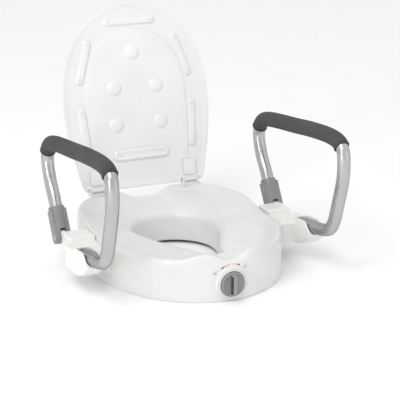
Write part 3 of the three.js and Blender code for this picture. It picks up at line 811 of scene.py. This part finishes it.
def twin(obj, name):
    """The left arm's copy of a piece of the right arm, with its own mesh."""
    other = obj.copy()
    other.data = obj.data.copy()
    other.name = other.data.name = name
    bpy.context.scene.collection.objects.link(other)
    other.location.x = -2 * arm_x
    settle(other, 40)
    return other


aluminium = moulded("satin_aluminium", (0.52, 0.525, 0.53), (0.46, 0.465, 0.47),
                    0.17, 0.25, 2600, 0.08, metallic=1.0)
aluminium_shader = aluminium.node_tree.nodes["Principled BSDF"]
aluminium_shader.inputs["Specular Tint"].default_value = (0.55, 0.55, 0.56, 1)
arm_body = {"L": "arm_left", "R": "arm_right"}
bore_r = tube_r - 1.8 * mm
last = len(arm_line) - 1
rings = [round_line(arm_line, 0, bore_r, arm_x), round_line(arm_line, 0, tube_r - 0.4 * mm, arm_x),
         round_line(arm_line, 0, tube_r, arm_x, 0.4 * mm)]
rings += [round_line(arm_line, i, tube_r, arm_x) for i in range(1, last)]
rings += [round_line(arm_line, last, tube_r, arm_x), round_line(arm_line, last, bore_r, arm_x)]
rings += [round_line(arm_line, i, bore_r, arm_x) for i in range(last - 1, 0, -2)]
rings += [rings[0]]
tube = draw_up("arm_pipe_R", rings, arm_sides)
settle(tube, 40)
for tag, piece in (("L", twin(tube, "arm_pipe_L")), ("R", tube)):
    dress(piece, aluminium)
    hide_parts(f"arm_tube_{tag}")
    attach(piece, arm_body[tag])
    dress(frame["nodes"][f"tube_cap_{tag}"], black_plastic)

# ---- arm grips ----
# Closed-cell foam sleeves, 33 mm across, pushed over the top of each arm and round both bends.
# The foam is slightly crowned, and a bulged black ring finishes each mouth. The bulge is real
# shape, and its black colour is painted shade for the shadowed rounded edge of the foam.
foam = moulded("charcoal_foam", (0.060, 0.062, 0.062), (0.043, 0.045, 0.045),
               0.72, 0.92, 1100, 0.9)
pores = foam.node_tree.nodes.new("ShaderNodeTexVoronoi")
pores.inputs["Scale"].default_value = 1400
pore_relief = foam.node_tree.nodes.new("ShaderNodeBump")
pore_relief.inputs["Strength"].default_value = 0.5
pore_relief.inputs["Distance"].default_value = 0.15 * mm
foam_shader = foam.node_tree.nodes["Principled BSDF"]
grain_relief = foam_shader.inputs["Normal"].links[0].from_node
foam.node_tree.links.new(foam.node_tree.nodes["Texture Coordinate"].outputs["Object"],
                         pores.inputs["Vector"])
foam.node_tree.links.new(pores.outputs["Distance"], pore_relief.inputs["Height"])
foam.node_tree.links.new(grain_relief.outputs["Normal"], pore_relief.inputs["Normal"])
foam.node_tree.links.new(pore_relief.outputs["Normal"], foam_shader.inputs["Normal"])
grip_r = 16.5 * mm


def nearest(y, z):
    spot = Vector((0, y * mm - arm_row, z * mm))
    return min(range(len(arm_line)), key=lambda i: (arm_line[i] - spot).length)


grip_first, grip_last = nearest(-215, 289), nearest(150, 247)
inner_r = tube_r + 0.35 * mm
span = grip_last - grip_first
rings = [round_line(arm_line, grip_first, inner_r, arm_x, -1.2 * mm),
         round_line(arm_line, grip_first, grip_r - 1.2 * mm, arm_x, -1.9 * mm),
         round_line(arm_line, grip_first, grip_r - 0.3 * mm, arm_x, -1.0 * mm)]
for i in range(grip_first, grip_last + 1):
    crown = 0.5 * mm * math.sin(math.pi * (i - grip_first) / span)
    rings.append(round_line(arm_line, i, grip_r - 0.2 * mm + crown, arm_x))
rings += [round_line(arm_line, grip_last, grip_r - 0.3 * mm, arm_x, 1.0 * mm),
          round_line(arm_line, grip_last, grip_r - 1.2 * mm, arm_x, 1.9 * mm),
          round_line(arm_line, grip_last, inner_r, arm_x, 1.2 * mm)]
rings += [round_line(arm_line, i, inner_r, arm_x) for i in range(grip_last - 1, grip_first, -2)]
rings += [rings[0]]
grip = draw_up("foam_grip_R", rings, arm_sides)
grip.modifiers.new("round", "SUBSURF").levels = 1
grip.modifiers["round"].render_levels = 1
apply_all(grip)
settle(grip, 60)
for tag, piece in (("L", twin(grip, "foam_grip_L")), ("R", grip)):
    dress(piece, foam)
    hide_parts(f"arm_grip_{tag}")
    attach(piece, arm_body[tag])

# Rings at both mouths of each grip: the bulged shape is real, and their black plastic is painted
# shade for the foam's shadowed edge.
for end, at, out in (("front", grip_first, -1), ("rear", grip_last, 1)):
    lip = [(inner_r, 2.2), (grip_r - 1.4 * mm, 2.2), (grip_r + 0.1 * mm, 2.8),
           (grip_r + 0.5 * mm, 4.2), (grip_r - 0.1 * mm, 5.8), (grip_r - 1.4 * mm, 6.6),
           (inner_r, 6.6), (inner_r, 2.2)]
    ring = draw_up(f"grip_lip_{end}_R", [round_line(arm_line, at, r, arm_x, out * reach * mm)
                                         for r, reach in lip], arm_sides)
    settle(ring, 50)
    for tag, piece in (("L", twin(ring, f"grip_lip_{end}_L")), ("R", ring)):
        dress(piece, black_plastic)
        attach(piece, arm_body[tag])

# ---- arm sleeves ----
# A grey moulded sleeve on the rear leg of each arm. Its two cheeks straddle the bracket's lug
# and turn on the pivot pin, a steel rivet holds the tube, and a rib stiffens its back.
sleeve_grey = moulded("sleeve_grey", (0.235, 0.238, 0.242), (0.19, 0.193, 0.197),
                      0.36, 0.52, 1300, 0.28)
for side, tag in ((-1, "L"), (1, "R")):
    softened_copy(f"arm_sleeve_{tag}", f"sleeve_{tag}", 1.0 * mm, sleeve_grey, arm_body[tag])
    rib = bevelled_block(f"sleeve_rib_{tag}", (-4 * mm, 14 * mm, 14 * mm),
                         (4 * mm, 20 * mm, 58 * mm), 1.4 * mm, sleeve_grey)
    rib.matrix_world = (Matrix.Translation((side * arm_x, pivot.y, pivot.z))
                        @ Matrix.Rotation(-leg_lean, 4, "X"))
    settle(rib, 35)
    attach(rib, arm_body[tag])
    dress(frame["nodes"][f"sleeve_rivet_{tag}"], bright_steel)

# ---- floor, light and camera ----
# A plain pale studio floor, one broad soft light from the upper left, two tall strip lights that
# draw streaks on the tubes, and a long lens at the height of a standing viewer.
clear_selection()
bpy.ops.mesh.primitive_plane_add(size=14, location=(0, 0, -0.3 * mm))
floor = bpy.context.object
floor.name = "studio_floor"
floor_finish = moulded("studio_floor", (0.95, 0.95, 0.95), (0.94, 0.94, 0.94), 0.85, 0.95, 60, 0.02)
dress(floor, floor_finish)

sky = bpy.data.worlds.new("studio_air")
bpy.context.scene.world = sky
sky.use_nodes = True
sky.node_tree.nodes["Background"].inputs["Color"].default_value = (1, 1, 1, 1)
sky.node_tree.nodes["Background"].inputs["Strength"].default_value = 0.93
bpy.context.scene.view_settings.view_transform = "Standard"


def soft_light(name, place, aim, wide, tall, power):
    lamp = bpy.data.lights.new(name, "AREA")
    lamp.shape = "RECTANGLE"
    lamp.size, lamp.size_y = wide, tall
    lamp.energy = power
    obj = bpy.data.objects.new(name, lamp)
    bpy.context.scene.collection.objects.link(obj)
    obj.location = place
    obj.rotation_euler = (Vector(aim) - Vector(place)).to_track_quat("-Z", "Y").to_euler()


soft_light("key_light", (-1.4, -1.1, 2.4), (0, 0, 0.1), 1.3, 1.3, 22)
soft_light("tall_strip_left", (-2.4, -1.5, 0.75), (0, 0, 0.3), 0.30, 1.5, 13)
soft_light("tall_strip_right", (1.5, -2.3, 0.75), (0, 0, 0.3), 0.22, 1.5, 2)

lens = bpy.data.cameras.new("studio_camera")
lens.lens = 135
lens.clip_end = 50
camera = bpy.data.objects.new("studio_camera", lens)
bpy.context.scene.collection.objects.link(camera)
camera.location = (-1.20305, -2.81109, 1.09385)
camera.rotation_euler = (math.radians(72.57), 0, math.radians(-24.04))
bpy.context.scene.camera = camera

bpy.context.view_layer.update()
